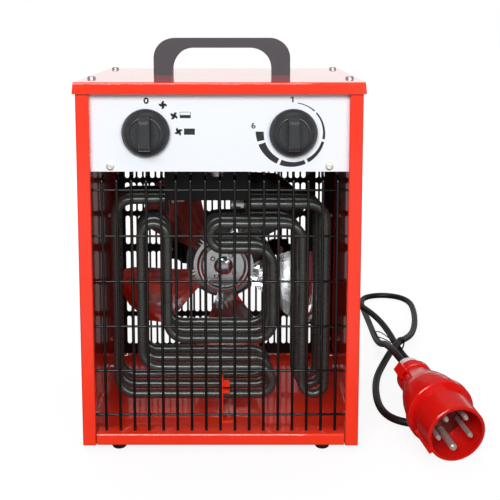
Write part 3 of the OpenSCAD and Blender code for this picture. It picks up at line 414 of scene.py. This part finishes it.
# %% Helper for printed bands
tree, shader, space = finish("ink", "Screen-printed ink, black")
shader.inputs["Base Color"].default_value = colour("#141519")
mesh_marks = add(tree, "ShaderNodeTexNoise", {
    "Vector": space, "Scale": per_mm(0.4), "Detail": 1.0})
vary(tree, shader, mesh_marks.outputs["Fac"], "Roughness", 0.45, 0.6)
INK_T = 0.04
PANEL_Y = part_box("control_fascia")[0][1] / MM


def band(sheet, centre, line_a, line_b, closed=False):
    """A thin solid on the panel between two lines of (x, z) points in mm about a centre."""
    rows = [
        [sheet.verts.new(((centre[0] + x) * MM, y * MM, (centre[1] + z) * MM)) for x, z in line]
        for line, y in (
            (line_a, PANEL_Y - INK_T), (line_b, PANEL_Y - INK_T),
            (line_b, PANEL_Y), (line_a, PANEL_Y))]
    count = len(line_a)
    for i in range(count if closed else count - 1):
        k = (i + 1) % count
        for near, far in zip(rows, rows[1:] + rows[:1]):
            sheet.faces.new((near[i], far[i], far[k], near[k]))
    if not closed:
        for i in (0, count - 1):
            sheet.faces.new([row[i] for row in rows])


# A ring of 24 points: the last one stops a step short of the first, and the band closes the gap.
NEARLY_ROUND = (0, 345, 23)


def around(radius_x, radius_z, first, last, steps):
    """Points on an ellipse, from one clock angle in degrees to another, clockwise from the top."""
    angles = [math.radians(first + (last - first) * i / steps) for i in range(steps + 1)]
    return [(radius_x * math.sin(a), radius_z * math.cos(a)) for a in angles]


def printed(name, draw):
    """A piece of printing that a drawing function fills with bands."""
    sheet = bmesh.new()
    draw(sheet)
    bmesh.ops.recalc_face_normals(sheet, faces=sheet.faces)
    data = bpy.data.meshes.new(name)
    sheet.to_mesh(data)
    sheet.free()
    data.materials.append(FINISHES["ink"])
    piece = bpy.data.objects.new(name, data)
    bpy.context.scene.collection.objects.link(piece)
    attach(piece, "heater")
    print(f"{name}: {len(data.polygons)} faces")
    return piece


# %% [markdown]
# ## The two scales
#
# The selector has an off mark, a fan mark for cold air, and fan marks with a half and a full bar
# for the two heats. The thermostat has a ring of six segments that thicken from 1 to 6.

# %% Selector scale
selector, thermostat = (
    (middle(knob).x / MM, middle(knob).z / MM) for knob in ("selector_knob", "thermostat_knob"))
OFF_MARK = (0.6, 29.2)
FAN_MARKS = (((15.7, 25.3), -14), ((25.7, 15.4), 14), ((29.7, 1.0), 42))
HALF_BAR, FULL_BAR = (35.9, 16.2), (39.6, 1.0)
BAR_W, BAR_H, BAR_LINE = 9.9, 5.7, 0.4
BLADES, BLADE_L, BLADE_HALF_W, BLADE_SWEEP = 4, 3.7, 0.75, 26


def bar(sheet, centre, low, high):
    """A filled bar from one height to another, in shares of the bar's full height."""
    edge = [BAR_H * (share - 0.5) for share in (low, high)]
    band(sheet, centre, [(-BAR_W / 2, edge[0]), (BAR_W / 2, edge[0])],
         [(-BAR_W / 2, edge[1]), (BAR_W / 2, edge[1])])


def frame_line(sheet, centre, width):
    """The outline of a bar, drawn with a line of that width."""
    corners = [(-1, -1), (1, -1), (1, 1), (-1, 1)]
    band(sheet, centre, [(x * BAR_W / 2, z * BAR_H / 2) for x, z in corners],
         [(x * (BAR_W / 2 - width), z * (BAR_H / 2 - width)) for x, z in corners], closed=True)


def fan_mark(sheet, centre, turn):
    """Curved blades about a centre, each widest towards its tip."""
    for blade in range(BLADES):
        edges = [[], []]
        for step in range(7):
            f = step / 6
            lean = math.radians(turn + 360 / BLADES * blade + BLADE_SWEEP * f * f)
            half = BLADE_HALF_W * (1 + math.sin(math.pi * min(f * 1.15, 1.0)) * f ** 0.5)
            for edge, side in zip(edges, (-1, 1)):
                x, z = side * half, BLADE_L * f
                edge.append((x * math.cos(lean) + z * math.sin(lean),
                             z * math.cos(lean) - x * math.sin(lean)))
        band(sheet, centre, *edges)


def beside(knob, offset):
    """A place on the panel at an offset from a knob's centre."""
    return (knob[0] + offset[0], knob[1] + offset[1])


def selector_scale(sheet):
    band(sheet, beside(selector, OFF_MARK),
         around(2.4, 3.0, *NEARLY_ROUND), around(0.9, 1.5, *NEARLY_ROUND), closed=True)
    for offset, turn in FAN_MARKS:
        fan_mark(sheet, beside(selector, offset), turn)
    bar(sheet, beside(selector, HALF_BAR), 0, 0.5)
    frame_line(sheet, beside(selector, HALF_BAR), BAR_LINE)
    bar(sheet, beside(selector, FULL_BAR), 0, 1)


printed("selector_scale", selector_scale)

# %% Thermostat scale
SCALE_R = 26.9
RING_THIN, RING_THICK = 0.8, 7.4
DIGIT_ONE, DIGIT_SIX = (-1.0, 30.3), (-36.2, 5.4)
SEGMENTS = ((8, 44), (48.5, 102), (107, 153), (158, 203), (208, 251), (256, 272))


def ring_width(angle):
    """Width of the thermostat's ring of marks at a clock angle."""
    first, last = SEGMENTS[0][0], SEGMENTS[-1][1]
    return RING_THIN + (RING_THICK - RING_THIN) * ((angle - first) / (last - first)) ** 1.4


def thermostat_scale(sheet):
    for first, last in SEGMENTS:
        steps = max(6, round((last - first) / 2.5))
        inner = around(SCALE_R, SCALE_R, first, last, steps)
        widths = [ring_width(first + (last - first) * i / steps) for i in range(steps + 1)]
        outer = [
            (x * (1 + w / SCALE_R), z * (1 + w / SCALE_R)) for (x, z), w in zip(inner, widths)]
        band(sheet, thermostat, inner, outer)
    one = beside(thermostat, DIGIT_ONE)
    band(sheet, one, [(-0.3, -2.5), (1.0, -2.5)], [(-0.3, 2.5), (1.0, 2.5)])
    band(sheet, one, [(-1.6, 0.9), (-1.6, 2.0)], [(-0.3, 1.5), (-0.3, 2.5)])
    six = beside(thermostat, DIGIT_SIX)
    band(sheet, six,
         around(1.9, 1.65, *NEARLY_ROUND), around(0.75, 0.55, *NEARLY_ROUND), closed=True)
    band(sheet, six, around(1.9, 3.7, -90, 25, 10), around(0.8, 2.6, -90, 18, 10))


printed("thermostat_scale", thermostat_scale)

# %% [markdown]
# ## Finishes on the parts
#
# Each part of the frame already names a slot in the record, so its finish is looked up and put on
# in one loop. The wire grille is the one exception: it shares the black slot with the sprayed
# sheet metal, but is dipped.

# %% Finishes on the parts
for part in frame["record"]["subparts"]:
    shown = frame["nodes"][part["node"]]
    dipped = part["node"] == "front_grille"
    for place in shown.material_slots:
        place.material = FINISHES["dipped_wire" if dipped else part["material_slot"]]
lead.data.materials.append(FINISHES["lead_rubber"])
tie.data.materials.append(FINISHES["tie_plastic"])

# %% [markdown]
# ## Floor, backdrop and light
#
# The heater stands on a pale floor in front of a white sky. The camera sees both as white from
# their own light, but matt surfaces get only a quarter of the sky's, so colours stay as written.
# The floor's own colour under that light is a mid grey, so that it throws little back up into the
# casing.
# Gloss mirrors a bright strip round the horizon and a dim sky above it, as in a studio with a low
# white backdrop, and that keeps the black parts black. Four soft lamps give the light: a wide key
# high in front, a fill at the right, one above, and one behind, which gloss doesn't mirror. The
# far part of the floor in front is lit a little for gloss, because the fan's hub mirrors it.

# %% Floor
FLOOR_HALF = 12
floor_mesh = bpy.data.meshes.new("studio_floor")
sheet = bmesh.new()
bmesh.ops.create_grid(sheet, x_segments=1, y_segments=1, size=FLOOR_HALF)
sheet.to_mesh(floor_mesh)
sheet.free()
floor = bpy.data.objects.new("studio_floor", floor_mesh)
bpy.context.scene.collection.objects.link(floor)
tree, shader, space = finish("floor", "Matt white studio floor", Roughness=0.8)
shader.inputs["Base Color"].default_value = colour("#686868")
path = add(tree, "ShaderNodeLightPath")
away = add(tree, "ShaderNodeVectorMath", {0: space}, operation="LENGTH")
white = add(tree, "ShaderNodeMapRange", {
    "Value": away.outputs["Value"],
    "From Min": 0.3, "From Max": 1.5, "To Min": 0.87, "To Max": 1.0})
seen = add(tree, "ShaderNodeMath", {
    0: path.outputs["Is Camera Ray"], 1: white.outputs["Result"]}, operation="MULTIPLY")
front = add(tree, "ShaderNodeMapRange", {
    "Value": add(tree, "ShaderNodeSeparateXYZ", {"Vector": space}).outputs["Y"],
    "From Min": -0.45, "From Max": -0.25, "To Min": 0.34, "To Max": 0.0})
lift = add(tree, "ShaderNodeMath", {
    0: path.outputs["Is Glossy Ray"], 1: front.outputs["Result"], 2: seen.outputs["Value"]},
    operation="MULTIPLY_ADD")
shader.inputs["Emission Color"].default_value = (1, 1, 1, 1)
tree.links.new(lift.outputs["Value"], shader.inputs["Emission Strength"])
floor_mesh.materials.append(FINISHES["floor"])

# %% Sky and lamps
SKY_SEEN = 1.0
SKY_ON_MATT = 0.25
HORIZON_Z = 0.05
world = bpy.data.worlds.new("studio")
world.use_nodes = True
bpy.context.scene.world = world
tree = world.node_tree
path = add(tree, "ShaderNodeLightPath")
mirrored = add(tree, "ShaderNodeMath", {
    0: path.outputs["Is Glossy Ray"], 1: path.outputs["Is Transmission Ray"]}, operation="MAXIMUM")
direction = add(tree, "ShaderNodeSeparateXYZ", {
    "Vector": add(tree, "ShaderNodeTexCoord").outputs["Generated"]})
behind = add(tree, "ShaderNodeMapRange", {
    "Value": direction.outputs["Y"],
    "From Min": -0.5, "From Max": 0.3, "To Min": 0.12, "To Max": 1.0})
height = add(tree, "ShaderNodeMath", {
    0: direction.outputs["Z"], 1: HORIZON_Z}, operation="SUBTRACT")
off_band = add(tree, "ShaderNodeMath", {0: height.outputs["Value"]}, operation="ABSOLUTE")
horizon = add(tree, "ShaderNodeMapRange", {
    "Value": off_band.outputs["Value"],
    "From Min": 0.06, "From Max": 0.2, "To Min": 1.0, "To Max": 0.25})
backdrop = add(tree, "ShaderNodeMath", {
    0: behind.outputs["Result"], 1: horizon.outputs["Result"]}, operation="MULTIPLY")
gloss = add(tree, "ShaderNodeMix", {
    0: mirrored.outputs["Value"], 2: SKY_ON_MATT, 3: backdrop.outputs["Value"]}, data_type="FLOAT")
strength = add(tree, "ShaderNodeMix", {
    0: path.outputs["Is Camera Ray"], 2: gloss.outputs[0], 3: SKY_SEEN}, data_type="FLOAT")
tree.links.new(strength.outputs[0], tree.nodes["Background"].inputs["Strength"])
tree.nodes["Background"].inputs["Color"].default_value = (1, 1, 1, 1)

AIM = Vector((0, 0, 0.18))
for name, place, width, height, power in (
    ("key_lamp", (-0.4, -1.9, 1.3), 1.3, 0.7, 34),
    ("fill_lamp", (0.85, -1.85, 0.85), 0.9, 0.9, 13),
    ("top_lamp", (0.0, 0.2, 1.9), 1.3, 1.3, 8),
    ("back_lamp", (-0.5, 1.9, 1.2), 1.4, 1.2, 15),
):
    data = bpy.data.lights.new(name, "AREA")
    data.shape = "RECTANGLE"
    data.size = width
    data.size_y = height
    data.energy = power
    lamp = bpy.data.objects.new(name, data)
    lamp.location = place
    lamp.rotation_euler = (AIM - lamp.location).to_track_quat("-Z", "Y").to_euler()
    lamp.visible_glossy = name != "back_lamp"
    bpy.context.scene.collection.objects.link(lamp)
bpy.context.scene.view_settings.view_transform = "Standard"
